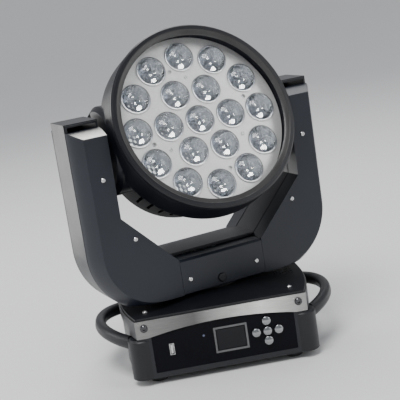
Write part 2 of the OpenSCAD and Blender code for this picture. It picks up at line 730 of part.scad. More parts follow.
module fan_frame() color(dark) in_head() raise(-78) union() {
  difference() {
    translate([-fan_half_w,-fan_half_w,0]) cube([2*fan_half_w,2*fan_half_w,25]);
    raise(-1) cylinder(r=43.5, h=30);
    at_corners(fan_half_w, fan_half_w) raise(-1) rotate([0,0,45])
      cube([9,9,60],center=true);
  }
  // hub, its four arms and the axle
  raise(20.5) cylinder(r=17, h=4.4);
  around(15, [45:90:359]) translate([0,-2,20.5]) cube([32,4,4.4]);
  raise(2) cylinder(r=2.5, h=20);
}
module fan_rotor() color([0.12,0.12,0.13]) in_head() raise(-77) difference() {
  union() {
    cylinder(r=17, h=17.5);
    intersection() {
      around(28, [for (k=[0:6]) k*360/7]) raise(9) rotate([38,0,0])
        cube([26,1.8,24],center=true);
      cylinder(r=41, h=17.5);
    }
  }
  raise(-1) cylinder(r=2.55, h=30);
}
module fan_grille() color(steel) in_head() raise(head_rear_z-2.2) union() {
  for (r=[10:8:42]) raise(0.2) tube(r+1, r-1, 1.6);
  for (a=[45,135]) rotate([0,0,a]) translate([-48,-1.2,0.4]) cube([96,2.4,1.2]);
  around(47, [45:90:359]) raise(0.2) cylinder(r=3.4, h=1.9);
}

placed() base_frame();
placed() rubber_feet();
placed() base_shell();
placed() base_top_cover();
placed() top_cover_screws();
placed() trim_front();
placed() trim_rear();
placed() trim_bolts();
placed() corner_guards();
placed() handle_left();
placed() handle_right();
placed() front_panel();
placed() display_frame();
placed() display_glass();
placed() button_up();
placed() button_down();
placed() button_left();
placed() button_right();
placed() button_enter();
placed() usb_port();
placed() status_light();
placed() rear_panel();
placed() power_sockets();
placed() data_sockets();
placed() power_supply();
placed() control_board();
placed() pan_spindle();
placed() pan_pulley();
placed() yoke_frame();
placed() arm_cover_front_left();
placed() arm_cover_front_right();
placed() arm_cover_rear_left();
placed() arm_cover_rear_right();
placed() centre_cover_front();
placed() centre_cover_rear();
placed() cover_screws();
placed() pan_lock_button();
placed() yoke_bearings();
placed() pan_motor();
placed() pan_motor_pulley();
placed() pan_belt();
placed() tilt_motor();
placed() tilt_motor_pulley();
placed() tilt_belt();
placed() head_drum();
placed() head_rear_cover();
placed() front_ring();
placed() lens_plate();
placed() lenses();
placed() lens_plate_screws();
placed() led_board();
placed() head_chassis();
placed() heat_sink();
placed() tilt_pulley();
placed() zoom_motors();
placed() zoom_screw_right();
placed() zoom_screw_left();
placed() fan_frame();
placed() fan_rotor();
placed() fan_grille();
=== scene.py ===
"""Looks for a moving-head stage light: a base, a yoke of two arms and a tilting head of lenses.

Metres, +Z up. The camera stands on the -Y side. The CAD frame's origin is FEET above the feet.
The yoke frame has x along the tilt axis. The head frame starts on the tilt axis, with x along
it and z along the beam, towards the front of the head.
"""
import bpy, bmesh, json, math
import numpy as np
from mathutils import Vector, Matrix


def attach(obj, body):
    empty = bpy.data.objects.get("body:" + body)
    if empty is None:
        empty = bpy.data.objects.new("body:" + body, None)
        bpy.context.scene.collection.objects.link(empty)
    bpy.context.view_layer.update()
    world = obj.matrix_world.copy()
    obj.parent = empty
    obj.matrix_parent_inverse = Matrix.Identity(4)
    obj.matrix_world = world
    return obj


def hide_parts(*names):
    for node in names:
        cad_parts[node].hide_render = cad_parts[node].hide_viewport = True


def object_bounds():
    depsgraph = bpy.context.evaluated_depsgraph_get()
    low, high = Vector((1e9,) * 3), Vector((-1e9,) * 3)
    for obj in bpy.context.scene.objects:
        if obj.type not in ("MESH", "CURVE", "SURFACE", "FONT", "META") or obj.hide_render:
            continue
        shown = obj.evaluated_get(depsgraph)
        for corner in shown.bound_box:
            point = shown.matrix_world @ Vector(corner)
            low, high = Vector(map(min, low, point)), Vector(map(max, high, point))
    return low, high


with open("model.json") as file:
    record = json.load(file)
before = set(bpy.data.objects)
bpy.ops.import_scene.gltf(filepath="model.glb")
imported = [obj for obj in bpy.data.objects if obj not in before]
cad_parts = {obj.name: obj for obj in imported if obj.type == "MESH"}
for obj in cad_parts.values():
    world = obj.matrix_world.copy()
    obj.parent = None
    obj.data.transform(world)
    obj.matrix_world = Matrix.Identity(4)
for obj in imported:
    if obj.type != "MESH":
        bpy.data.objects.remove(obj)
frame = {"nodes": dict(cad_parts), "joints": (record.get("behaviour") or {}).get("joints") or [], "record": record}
cad_lo, cad_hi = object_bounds()
NODES = frame["nodes"]
SLOT = {part["node"]: part["material_slot"] for part in frame["record"]["subparts"]}
JOINTS = {joint["name"]: joint for joint in frame["joints"]}
FEET = -cad_lo.z


# ------------------------------------------------------------ local frames
def placed(x_axis, y_axis, z_axis, origin):
    """Matrix with the given axes and origin as its columns."""
    return Matrix(((*x_axis, 0), (*y_axis, 0), (*z_axis, 0), (*origin, 1))).transposed()


def above_feet(x, y, z):
    """A point whose height is measured from the feet."""
    return Vector((x, y, z - FEET))


TILT_AXIS = Vector(JOINTS["tilt"]["axis"]).normalized()
BEAM = Vector(JOINTS["zoom"]["axis"]).normalized()
YOKE = placed((TILT_AXIS.x, TILT_AXIS.y, 0), (-TILT_AXIS.y, TILT_AXIS.x, 0), (0, 0, 1), (0, 0, 0))
HEAD = placed(TILT_AXIS, BEAM.cross(TILT_AXIS), BEAM, Vector(JOINTS["tilt"]["pos_m"]))
HEAD_INV = HEAD.inverted()


# ------------------------------------------------------------ shader building
def shade(color, factor, lift=0.0):
    """A colour scaled by factor and raised by lift, kept within 1."""
    return tuple(min(1, channel * factor + lift) for channel in color)


class Shader:
    """A material with a Principled surface, and short calls for the nodes that feed it."""

    def __init__(self, name):
        self.material = bpy.data.materials.new(name)
        self.material.use_nodes = True
        self.tree = self.material.node_tree
        self.tree.nodes.clear()
        output = self.add("OutputMaterial")
        self.surface = self.add("BsdfPrincipled")
        self.feed(output.inputs["Surface"], self.surface.outputs[0])
        self.coords = self.add("TexCoord")

    def feed(self, socket, value):
        """Link value into socket, or set it when it is a plain value."""
        if isinstance(value, bpy.types.NodeSocket):
            self.tree.links.new(value, socket)
        elif socket.type == "RGBA":
            socket.default_value = (*value, 1)
        else:
            socket.default_value = value

    def feed_named(self, node, sockets):
        for name, value in sockets.items():
            self.feed(node.inputs[name.replace("_", " ")], value)

    def add(self, kind, **sockets):
        node = self.tree.nodes.new("ShaderNode" + kind)
        self.feed_named(node, sockets)
        return node

    def operate(self, kind, operation, *values):
        """A Math or VectorMath node."""
        node = self.add(kind)
        node.operation = operation
        for socket, value in zip(node.inputs, values):
            self.feed(socket, value)
        return node

    def times(self, a, b, clamp=False):
        node = self.operate("Math", "MULTIPLY", a, b)
        node.use_clamp = clamp
        return node.outputs[0]

    def plus(self, a, b, clamp=False):
        node = self.operate("Math", "ADD", a, b)
        node.use_clamp = clamp
        return node.outputs[0]

    def mapping(self, scale=(1, 1, 1)):
        """Object coordinates, scaled."""
        return self.add("Mapping", Scale=scale, Vector=self.coords.outputs["Object"]).outputs[0]

    def noise(self, vector, scale, detail=3, rough=0.5):
        return self.add("TexNoise", Vector=vector, Scale=scale, Detail=detail,
                        Roughness=rough).outputs["Fac"]

    def voronoi(self, vector, scale):
        return self.add("TexVoronoi", Vector=vector, Scale=scale).outputs["Distance"]

    def ramp(self, factor, stops):
        """Colour ramp; stops are (position, colour)."""
        node = self.add("ValToRGB", Fac=factor)
        elements = node.color_ramp.elements
        while len(elements) < len(stops):
            elements.new(0.5)
        for k, (position, color) in enumerate(stops):
            elements[k].position = position
            elements[k].color = (*color, 1)
        return node.outputs["Color"]

    def remap(self, value, span, to=(0.0, 1.0)):
        """Carry value from span to another range, clamped at its ends."""
        return self.add("MapRange", Value=value, From_Min=span[0], From_Max=span[1],
                        To_Min=to[0], To_Max=to[1]).outputs["Result"]

    def mix(self, factor, a, b):
        node = self.add("Mix")
        node.data_type = "RGBA"
        # Sockets 0, 6 and 7 are the plain factor and the two colours.
        for k, value in ((0, factor), (6, a), (7, b)):
            self.feed(node.inputs[k], value)
        return node.outputs[2]

    def blend(self, base, color, mask, span, amount=1.0):
        """Lay color over base as mask passes through span, up to amount."""
        return self.mix(self.remap(mask, span, to=(0.0, amount)), base, color)

    def worn(self, base, color, edge, amount):
        """Lay color over base along the edges."""
        return self.mix(self.times(edge, amount, clamp=True), base, color)

    def bump(self, height, depth, strength):
        return self.add("Bump", Distance=depth, Strength=strength,
                        Height=height).outputs["Normal"]

    def edge(self, radius=0.0012):
        """1 on convex and concave edges, 0 on flats."""
        bevel = self.add("Bevel", Radius=radius)
        bevel.samples = 4
        geometry = self.add("NewGeometry")
        dot = self.operate("VectorMath", "DOT_PRODUCT",
                           bevel.outputs["Normal"], geometry.outputs["Normal"])
        turn = self.operate("Math", "SUBTRACT", 1.0, dot.outputs["Value"]).outputs[0]
        return self.remap(turn, span=(0.02, 0.35))

    def coordinate(self, row):
        """The coordinate that one row of a 4 x 4 matrix makes of the object coordinates."""
        dot = self.operate("VectorMath", "DOT_PRODUCT",
                           self.coords.outputs["Object"], tuple(row[:3]))
        return self.plus(dot.outputs["Value"], float(row[3]))

    def finish(self, **sockets):
        """Feed the Principled surface and hand back the material."""
        self.feed_named(self.surface, sockets)
        return self.material


# ------------------------------------------------------------ materials
# Throughout: scale and grain are textures' frequencies, depth is the bump height in metres.
def moulded(name, color, rough, depth, grain=1500, tint=(0.05, 0.053, 0.06), **sockets):
    """Moulded or powder-coated surface: fine grain, cloudy roughness, tinted rubbed edges."""
    n = Shader(name)
    place = n.mapping()
    cloud = n.noise(place, scale=14.0, detail=4, rough=0.6)
    fine = n.noise(place, scale=grain, detail=2)
    cell = n.voronoi(place, scale=grain * 0.8)
    spots = n.noise(place, scale=120.0, detail=5, rough=0.65)
    base = n.blend(shade(color, 0.86), shade(color, 1.16), mask=cloud, span=(0.3, 0.7))
    base = n.blend(base, shade(color, 1.5, lift=0.006), mask=spots, span=(0.62, 0.8), amount=0.35)
    rubbed = n.times(n.edge(), n.remap(spots, span=(0.35, 0.65), to=(0.25, 1.0)))
    base = n.worn(base, tint, rubbed, amount=0.35)
    roughness = n.plus(n.remap(cloud, span=(0.25, 0.75), to=(rough - 0.05, rough + 0.06)),
                       n.remap(fine, span=(0.3, 0.7), to=(-0.03, 0.03)), clamp=True)
    height = n.plus(n.times(fine, 0.6), n.times(cell, 0.5))
    return n.finish(Base_Color=base, Roughness=roughness,
                    Normal=n.bump(height, depth, strength=0.5), Coat_Roughness=0.12, **sockets)


def metal(name, color, rough, stretch=(1, 1, 1), scale=900, depth=4e-5, wear=0.4, metallic=1.0):
    """Brushed, turned or plated metal with streaks, smudges and brighter edges."""
    n = Shader(name)
    stretched = n.mapping(stretch)
    place = n.mapping()
    streak = n.noise(stretched, scale=scale, detail=4, rough=0.6)
    smudge = n.noise(place, scale=22.0, detail=4, rough=0.6)
    base = n.blend(shade(color, 0.9), shade(color, 1.07), mask=streak, span=(0.3, 0.7))
    base = n.blend(base, shade(color, 0.78), mask=smudge, span=(0.5, 0.8), amount=0.3)
    base = n.worn(base, shade(color, 1.25), n.edge(radius=0.0008), amount=wear)
    roughness = n.plus(n.remap(streak, span=(0.3, 0.7), to=(rough - 0.07, rough + 0.07)),
                       n.remap(smudge, span=(0.4, 0.8), to=(0.0, 0.08)), clamp=True)
    return n.finish(Base_Color=base, Roughness=roughness,
                    Normal=n.bump(streak, depth, strength=0.4), Metallic=metallic)


def glossy(name, color, rough, depth=3e-5, **sockets):
    """Smooth surface with slightly cloudy colour and sheen."""
    n = Shader(name)
    place = n.mapping()
    cloud = n.noise(place, scale=40.0, detail=4, rough=0.55)
    fine = n.noise(place, scale=260.0)
    base = n.mix(cloud, shade(color, 0.88), shade(color, 1.1))
    roughness = n.remap(cloud, span=(0.3, 0.7), to=(max(0.02, rough - 0.04), rough + 0.05))
    return n.finish(Base_Color=base, Roughness=roughness,
                    Normal=n.bump(fine, depth, strength=0.3), **sockets)


def ring_material(name):
    """Front ring: satin finish; the front lip's lighter colour is a painted highlight, and the outside and inside
    walls are darker.
    """
    n = Shader(name)
    place = n.mapping()
    x, y, z = [n.coordinate(HEAD_INV[row]) for row in range(3)]
    squares = n.plus(n.times(x, x), n.times(y, y))
    radius = n.operate("Math", "SQRT", squares).outputs[0]
    cloud = n.noise(place, scale=16.0, detail=4, rough=0.6)
    fine = n.noise(place, scale=1700.0, detail=2)
    cell = n.voronoi(place, scale=1400.0)
    spots = n.noise(place, scale=150.0, detail=5, rough=0.65)
    lip = n.times(n.remap(z, span=(0.0675, 0.0690)),
                  n.remap(radius, span=(0.1205, 0.1190)), clamp=True)
    dark = n.blend((0.0038, 0.0042, 0.0068), (0.0056, 0.006, 0.0095), mask=cloud, span=(0.3, 0.7))
    light = n.blend((0.034, 0.033, 0.033), (0.05, 0.049, 0.048), mask=cloud, span=(0.3, 0.7))
    # The lip's lighter colour is a painted highlight.
    base = n.mix(lip, dark, light)
    base = n.blend(base, (0.03, 0.031, 0.034), mask=spots, span=(0.64, 0.8), amount=0.3)
    base = n.worn(base, (0.06, 0.06, 0.063), n.edge(radius=0.0008), amount=0.3)
    wall = n.times(n.remap(z, span=(0.0685, 0.0670)),
                   n.remap(radius, span=(0.1212, 0.1206)), clamp=True)
    roughness = n.plus(n.remap(cloud, span=(0.25, 0.75), to=(0.28, 0.38)),
                       n.remap(fine, span=(0.3, 0.7), to=(-0.03, 0.03)), clamp=True)
    roughness = n.plus(roughness, n.times(wall, 0.35), clamp=True)
    height = n.plus(n.times(fine, 0.6), n.times(cell, 0.4))
    return n.finish(Base_Color=base, Roughness=roughness,
                    Normal=n.bump(height, depth=7e-5, strength=0.4),
                    Specular_IOR_Level=n.remap(wall, span=(0.0, 1.0), to=(0.4, 0.08)))


# Painted reflection on the trim: its brightness from x = -TRIM_REACH to +TRIM_REACH, painted into its colour:
# (position 0 to 1, level)
TRIM_REACH = 0.15
TRIM_PAINTED_REFLECTION = ((0.0, 0.2), (0.13, 0.3), (0.38, 0.14), (0.68, 1), (0.84, 0.45), (1.0, 0.25))


def trim_material(name):
    """Brushed aluminium strip whose colour carries a painted reflection that swells on the +X side of the middle,
    with painted shade on its side faces.
    """
    n = Shader(name)
    x = n.coordinate((1, 0, 0, 0))
    along_x = n.mapping((0.02, 1, 1))
    along_y = n.mapping((1, 0.02, 1))
    geometry = n.add("NewGeometry")
    normal = n.add("SeparateXYZ", Vector=geometry.outputs["Normal"])
    sideways = n.operate("Math", "ABSOLUTE", normal.outputs[0]).outputs[0]
    on_side = n.remap(sideways, span=(0.55, 0.8))
    streak = n.mix(on_side, n.noise(along_x, scale=2600.0, detail=4, rough=0.65),
                   n.noise(along_y, scale=2600.0, detail=4, rough=0.65))
    smudge = n.noise(n.mapping(), scale=24.0, detail=4, rough=0.6)
    # Painted reflection: the colour runs dark to bright along x.
    painted_reflection = n.ramp(n.remap(x, span=(-TRIM_REACH, TRIM_REACH)),
                   [(position, (level,) * 3) for position, level in TRIM_PAINTED_REFLECTION])
    base = n.mix(painted_reflection, (0.02, 0.02, 0.022), (0.95, 0.94, 0.91))
    # Side faces painted dark: painted shade in place of a dark reflection.
    base = n.mix(on_side, base, (0.14, 0.14, 0.145))
    base = n.blend(base, (0.09, 0.09, 0.095), mask=streak, span=(0.35, 0.65), amount=0.3)
    base = n.blend(base, (0.2, 0.2, 0.2), mask=smudge, span=(0.55, 0.8), amount=0.25)
    base = n.worn(base, (0.9, 0.9, 0.9), n.edge(radius=0.0006), amount=0.35)
    roughness = n.plus(n.remap(streak, span=(0.3, 0.7), to=(0.24, 0.4)),
                       n.remap(smudge, span=(0.4, 0.8), to=(0.0, 0.08)), clamp=True)
    return n.finish(Base_Color=base, Roughness=roughness,
                    Normal=n.bump(streak, depth=5e-5, strength=0.5),
                    Metallic=0.95, Anisotropic=0.5)


def rubber(name, color):
    n = Shader(name)
    place = n.mapping()
    cloud = n.noise(place, scale=30.0, detail=4, rough=0.6)
    cell = n.voronoi(place, scale=2200.0)
    base = n.blend(color, shade(color, 2.2), mask=cloud, span=(0.4, 0.75), amount=0.6)
    return n.finish(Base_Color=base, Roughness=n.remap(cloud, span=(0.3, 0.7), to=(0.72, 0.88)),
                    Normal=n.bump(cell, depth=1e-4, strength=0.4))


def glass(name):
    """Clear moulded lens with slight flow ripples."""
    n = Shader(name)
    place = n.mapping()
    ripple = n.noise(place, scale=160.0, detail=2, rough=0.4)
    cloud = n.noise(place, scale=50.0)
    return n.finish(Base_Color=n.mix(cloud, (0.95, 0.965, 0.975), (0.99, 0.995, 1.0)),
                    Roughness=n.remap(cloud, span=(0.3, 0.7), to=(0.01, 0.05)),
                    Normal=n.bump(ripple, depth=2e-4, strength=0.25),
                    Transmission_Weight=1.0, IOR=1.49)


def circuit(name, color, trace):
    """Circuit board with a brick pattern of traces."""
    n = Shader(name)
    place = n.mapping()
    bricks = n.add("TexBrick", Scale=160.0, Mortar_Size=0.03, Vector=place).outputs["Fac"]
    cloud = n.noise(place, scale=60.0)
    base = n.mix(n.times(bricks, 0.7), n.mix(cloud, shade(color, 0.85), color), trace)
    return n.finish(Base_Color=base, Roughness=n.remap(cloud, span=(0.3, 0.7), to=(0.28, 0.42)),
                    Normal=n.bump(bricks, depth=5e-5, strength=0.4))


def seat_material(name):
    """Lens seat with painted light and shade: pale, painted light, at low u and v, fading to dark, painted shade,
    at high u and v.
    """
    n = Shader(name)
    around = n.add("SeparateXYZ", Vector=n.coords.outputs["UV"])
    side = n.plus(n.times(around.outputs[0], 0.45), n.times(around.outputs[1], 0.9))
    speck = n.noise(n.mapping(), scale=600.0, rough=0.6)
    # Pale to dark across each seat: painted light on one side, painted shade on the other.
    base = n.ramp(side, [(0.3, (0.5, 0.5, 0.5)), (0.62, (0.12, 0.13, 0.15)),
                         (0.9, (0.012, 0.013, 0.018))])
    base = n.blend(base, (0.2, 0.21, 0.23), mask=speck, span=(0.5, 0.8), amount=0.3)
    return n.finish(Base_Color=base, Roughness=n.remap(speck, span=(0.3, 0.7), to=(0.3, 0.45)),
                    Normal=n.bump(speck, depth=4e-5, strength=0.4))


def floor_material(name):
    n = Shader(name)
    cloud = n.noise(n.mapping(), scale=3.0, detail=4)
    return n.finish(Base_Color=n.mix(cloud, (0.79, 0.79, 0.785), (0.83, 0.83, 0.825)),
                    Roughness=0.75)


MATS = {
    "steel_black": moulded("m_steel_black", (0.018, 0.018, 0.02), rough=0.5, depth=2e-4,
                           grain=900),
    "rubber": rubber("m_rubber", (0.022, 0.022, 0.023)),
    "black_paint": moulded("m_black_paint", (0.0075, 0.0086, 0.0125), rough=0.38, depth=1.6e-4,
                           grain=1100, tint=(0.06, 0.062, 0.068)),
    "black_plastic": moulded("m_black_plastic", (0.0045, 0.005, 0.0075), rough=0.42,
                             depth=1.4e-4),
    "screw_steel": metal("m_screw_steel", (0.72, 0.72, 0.72), rough=0.24, scale=1500),
    "silver_trim": trim_material("m_silver_trim"),
    "screw_black": metal("m_screw_black", (0.09, 0.09, 0.095), rough=0.22, scale=1500, wear=0.8),
    "handle_plastic": moulded("m_handle", (0.009, 0.0095, 0.012), rough=0.4, depth=1.4e-4,
                              grain=1300, tint=(0.05, 0.05, 0.055)),
    "panel_black": moulded("m_panel", (0.003, 0.003, 0.0055), rough=0.3, depth=6e-5, grain=1800,
                           tint=(0.016, 0.016, 0.02), Specular_IOR_Level=0.1),
    "display_grey": moulded("m_display_frame", (0.115, 0.117, 0.12), rough=0.36, depth=8e-5,
                            tint=(0.34, 0.34, 0.36)),
    "display_glass": glossy("m_display_glass", (0.003, 0.003, 0.006), rough=0.06, depth=1e-5,
                            Specular_IOR_Level=0.3),
    "button_silver": metal("m_button", (0.34, 0.35, 0.36), rough=0.2, scale=700, depth=2e-5),
    "indicator": glossy("m_indicator", (0.12, 0.14, 0.22), rough=0.2),
    "socket_blue": moulded("m_socket_blue", (0.03, 0.09, 0.36), rough=0.42, depth=8e-5,
                           tint=(0.1, 0.2, 0.5)),
    "socket_black": moulded("m_socket_black", (0.014, 0.014, 0.015), rough=0.45, depth=8e-5),
    "zinc_plate": metal("m_zinc", (0.56, 0.57, 0.56), rough=0.4, scale=60),
    "circuit_board": circuit("m_pcb_green", (0.015, 0.11, 0.05), trace=(0.04, 0.2, 0.09)),
    "machined_steel": metal("m_turned_steel", (0.52, 0.52, 0.53), rough=0.26,
                            stretch=(1, 1, 0.05)),
    "machined_aluminium": metal("m_machined_alu", (0.68, 0.68, 0.69), rough=0.34,
                                stretch=(1, 0.2, 1)),
    "cover_plastic": moulded("m_cover", (0.0085, 0.0116, 0.0195), rough=0.36, depth=1.3e-4,
                             tint=(0.05, 0.054, 0.064)),
    "motor_black": moulded("m_motor", (0.02, 0.02, 0.021), rough=0.45, depth=1.5e-4, grain=800),
    "head_plastic": moulded("m_head", (0.0035, 0.004, 0.0075), rough=0.38, depth=1.2e-4,
                            tint=(0.03, 0.032, 0.038), Specular_IOR_Level=0.34),
    "ring_plastic": ring_material("m_ring"),
    "lens_plate_silver": metal("m_lens_plate", (0.80, 0.80, 0.785), rough=0.34, scale=500,
                               depth=2e-5, metallic=0.55),
    "lens_clear": glass("m_lens"),
    # The white board's faint emission is painted light: a glow that brightens the lens interiors.
    "circuit_white": glossy("m_pcb_white", (0.86, 0.86, 0.84), rough=0.3,
                            Emission_Color=(0.9, 0.95, 1.0), Emission_Strength=0.1),
    "fan_plastic": moulded("m_fan", (0.016, 0.016, 0.017), rough=0.42, depth=1e-4),
    "wire_steel": metal("m_wire", (0.6, 0.6, 0.61), rough=0.2, scale=600),
    "rear_cover": moulded("m_rear_cover", (0.0045, 0.005, 0.008), rough=0.62, depth=1.2e-4,
                          tint=(0.02, 0.021, 0.025), Specular_IOR_Level=0.12),
}
# Nodes that don't take the material of their slot.
MATERIAL_BY_NODE = {"head_rear_cover": "rear_cover"}

# ------------------------------------------------------------ dressing the CAD nodes
SHARP_DEGREES = 32          # edges sharper than this are bevelled and shaded sharp
DEFAULT_BEVEL = 0.0004
ROUND_BEVEL = 0.0006        # bevels at least this wide get a third segment
BEVEL_NODES = {             # width: nodes
    0.0012: "arm_cover_front_left arm_cover_front_right arm_cover_rear_left "
            "arm_cover_rear_right corner_guards",
    0.0010: "centre_cover_front centre_cover_rear base_top_cover",
    0.0008: "head_drum head_rear_cover",
    0.0007: "yoke_frame",
    0.0005: "front_ring",
    0.0003: "display_glass display_frame trim_bolts fan_rotor",
    0.0002: "cover_screws top_cover_screws",
    0.00015: "lens_plate_screws",
    0.0001: "usb_port",
}
BEVEL = {name: width for width, names in BEVEL_NODES.items() for name in names.split()}
UNBEVELLED = {"pan_pulley", "tilt_pulley", "pan_motor_pulley", "tilt_motor_pulley", "led_board",
              "heat_sink", "power_supply"}
# These keep every face as well as going without a bevel.
UNTOUCHED = {"front_panel", "rear_panel", "base_shell", "base_frame", "fan_frame", "tilt_belt"}


def smoothing_group():
    """Geometry nodes that shade smooth except across sharp edges."""
    group = bpy.data.node_groups.new("smooth_%d" % SHARP_DEGREES, "GeometryNodeTree")
    for direction in ("INPUT", "OUTPUT"):
        group.interface.new_socket("Geometry", in_out=direction,
                                   socket_type="NodeSocketGeometry")
    source = group.nodes.new("NodeGroupInput")
    result = group.nodes.new("NodeGroupOutput")
    faces = group.nodes.new("GeometryNodeSetShadeSmooth")
    faces.domain = "FACE"
    edges = group.nodes.new("GeometryNodeSetShadeSmooth")
    edges.domain = "EDGE"
    edges.inputs["Shade Smooth"].default_value = False
    angle = group.nodes.new("GeometryNodeInputMeshEdgeAngle")
    sharp = group.nodes.new("FunctionNodeCompare")
    sharp.data_type = "FLOAT"
    sharp.operation = "GREATER_THAN"
    sharp.inputs[1].default_value = math.radians(SHARP_DEGREES)
    link = group.links.new
    link(source.outputs[0], faces.inputs["Geometry"])
    link(faces.outputs[0], edges.inputs["Geometry"])
    link(angle.outputs["Unsigned Angle"], sharp.inputs[0])
    link(sharp.outputs[0], edges.inputs["Selection"])
    link(edges.outputs[0], result.inputs[0])
    return group


SMOOTH = smoothing_group()


def shade_smooth(obj):
    obj.modifiers.new("smooth", "NODES").node_group = SMOOTH


def finish_mesh(obj, bevel_width, merge_flats):
    """Weld, merge flat faces, bevel and smooth a CAD mesh through modifiers."""
    if "custom_normal" in obj.data.attributes:
        obj.data.attributes.remove(obj.data.attributes["custom_normal"])
    weld = obj.modifiers.new("weld", "WELD")
    weld.merge_threshold = 2e-6
    if merge_flats:
        flat = obj.modifiers.new("flat", "DECIMATE")
        flat.decimate_type = "DISSOLVE"
        flat.angle_limit = math.radians(0.6)
    if bevel_width:
        bevel = obj.modifiers.new("edge", "BEVEL")
        bevel.width = bevel_width
        bevel.segments = 3 if bevel_width >= ROUND_BEVEL else 2
        bevel.limit_method = "ANGLE"
        bevel.angle_limit = math.radians(SHARP_DEGREES)
        bevel.miter_outer = "MITER_ARC"
        bevel.use_clamp_overlap = True
    shade_smooth(obj)
    weighted = obj.modifiers.new("weighted", "WEIGHTED_NORMAL")
    weighted.keep_sharp = True
    weighted.weight = 60


for name, obj in NODES.items():
    obj.data.materials.clear()
    obj.data.materials.append(MATS[MATERIAL_BY_NODE.get(name, SLOT[name])])
    plain = name in UNBEVELLED or name in UNTOUCHED
    finish_mesh(obj, bevel_width=0 if plain else BEVEL.get(name, DEFAULT_BEVEL),
                merge_flats=name not in UNTOUCHED)


# ------------------------------------------------------------ mesh builders
def new_object(name, bm, material, body):
    """Turn a bmesh in the head frame into an object that rides on body."""
    mesh = bpy.data.meshes.new(name)
    bmesh.ops.recalc_face_normals(bm, faces=bm.faces)
    bm.to_mesh(mesh)
    bm.free()
    mesh.transform(HEAD)
    for polygon in mesh.polygons:
        polygon.use_smooth = True
    obj = bpy.data.objects.new(name, mesh)
    bpy.context.scene.collection.objects.link(obj)
    mesh.materials.append(material)
    shade_smooth(obj)
    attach(obj, body)
    return obj


def turns(count):
    """Evenly spaced angles round a circle."""
    return [2 * math.pi * k / count for k in range(count)]


def ring(bm, at, radius, height, count):
    """Circle of vertices about z through at; height is a number or a function of x and y."""
    verts = []
    for angle in turns(count):
        x, y = radius * math.cos(angle), radius * math.sin(angle)
        z = height(x, y) if callable(height) else height
        verts.append(bm.verts.new((at[0] + x, at[1] + y, at[2] + z)))
    return verts


def bridge(bm, a, b):
    """Band of faces between two rings."""
    for k in range(len(a)):
        after = (k + 1) % len(a)
        bm.faces.new((a[k], a[after], b[after], b[k]))


def lathe(bm, profile, at, count, closed=True):
    """Revolve (radius, z) points about z through at. Only the first radius may be 0."""
    rings = []
    for radius, z in profile:
        if radius == 0:
            rings.append([bm.verts.new((at[0], at[1], at[2] + z))])
        else:
            rings.append(ring(bm, at, radius, z, count))
    pairs = list(zip(rings, rings[1:]))
    if closed:
        pairs.append((rings[-1], rings[0]))
    for a, b in pairs:
        if len(a) == 1:
            for k in range(count):
                bm.faces.new((a[0], b[k], b[(k + 1) % count]))
        else:
            bridge(bm, a, b)


def torus(bm, radius, wire, z):
    """Wire ring about the z axis."""
    section = [(radius + wire * math.cos(a), z + wire * math.sin(a)) for a in turns(14)]
    lathe(bm, section, (0, 0, 0), count=96)


# Rounded end of a rod: (distance outwards, radius), in rod radii
ROD_END = ((0.0, 1.0), (0.45, 0.9), (0.8, 0.6))


def rod(bm, start, end, radius, count=14):
    """Round rod with rounded ends whose tips lie at start and end."""
    start, end = Vector(start), Vector(end)
    along = (end - start).normalized()
    across = along.orthogonal().normalized()
    other = along.cross(across)
    ends = []
    for tip_place, sign in ((start, -1), (end, 1)):
        rows = []
        for out, scale in ROD_END:
            offset = along * (sign * radius * (out - ROD_END[-1][0]))
            rows.append([bm.verts.new(tip_place + offset + (across * math.cos(a)
                         + other * math.sin(a)) * radius * scale) for a in turns(count)])
        tip = bm.verts.new(tip_place)
        for a, b in zip(rows, rows[1:]):
            bridge(bm, a, b)
        for k in range(count):
            bm.faces.new((rows[-1][k], rows[-1][(k + 1) % count], tip))
        ends.append(rows[0])
    bridge(bm, *ends)


# ------------------------------------------------------------ lenses
# Heights are measured forwards from the back of each CAD lens.
SEAT_HEIGHT = 0.0016
SEAT_BORE = 0.0172          # radius of the hole through the seat
LENS_SEGMENTS = 64
DOME_INSET = 0.0006         # dome's rim inside the CAD lens's rim
DOME_POLE_GAP = 0.0003      # dome's pole behind the CAD lens's front
DOME_STEPS = 14
BACK_RINGS = (0.11, 0.18, 0.25, 0.32, 0.39, 0.46, 0.53, 0.6, 0.67, 0.74, 0.81, 0.88, 0.95, 1.0)
FACET_PITCH = 0.0052
FACET_HEIGHT = 0.00016
FACET_FADE = 0.002          # facets die out over this distance from the rim
BACK_HEIGHT = 0.0005        # height of the back face at the rim
CUP_BACK_RADIUS, CUP_FRONT_RADIUS = 0.0094, 0.0169
CUP_BACK, CUP_DEPTH = -0.0200, 0.0194
CUP_STEPS = 12
CUP_FLARE = 0.6             # power by which the cup widens towards the front
CUP_WALL = (0.0004, -0.0002)    # outer wall's offset from the inner: (radius, z)


def lens_places():
    """(x, y, back z, front z, radius) in the head frame of each separate CAD lens, by rows."""
    bm = bmesh.new()
    bm.from_mesh(NODES["lenses"].data)
    bmesh.ops.remove_doubles(bm, verts=bm.verts, dist=1e-6)
    seen, solids = set(), []
    for first in bm.verts:
        if first in seen:
            continue
        stack, points = [first], []
        seen.add(first)
        while stack:
            vert = stack.pop()
            points.append(HEAD_INV @ vert.co)
            for edge in vert.link_edges:
                neighbour = edge.other_vert(vert)
                if neighbour not in seen:
                    seen.add(neighbour)
                    stack.append(neighbour)
        solids.append(np.array(points, float))
    bm.free()
    solids.sort(key=lambda p: (round(p.mean(0)[1], 4), round(p.mean(0)[0], 4)))
    bounds = [(p.min(0), p.max(0)) for p in solids]
    return [((lo[0] + hi[0]) / 2, (lo[1] + hi[1]) / 2, lo[2], hi[2], (hi[0] - lo[0]) / 2)
            for lo, hi in bounds]


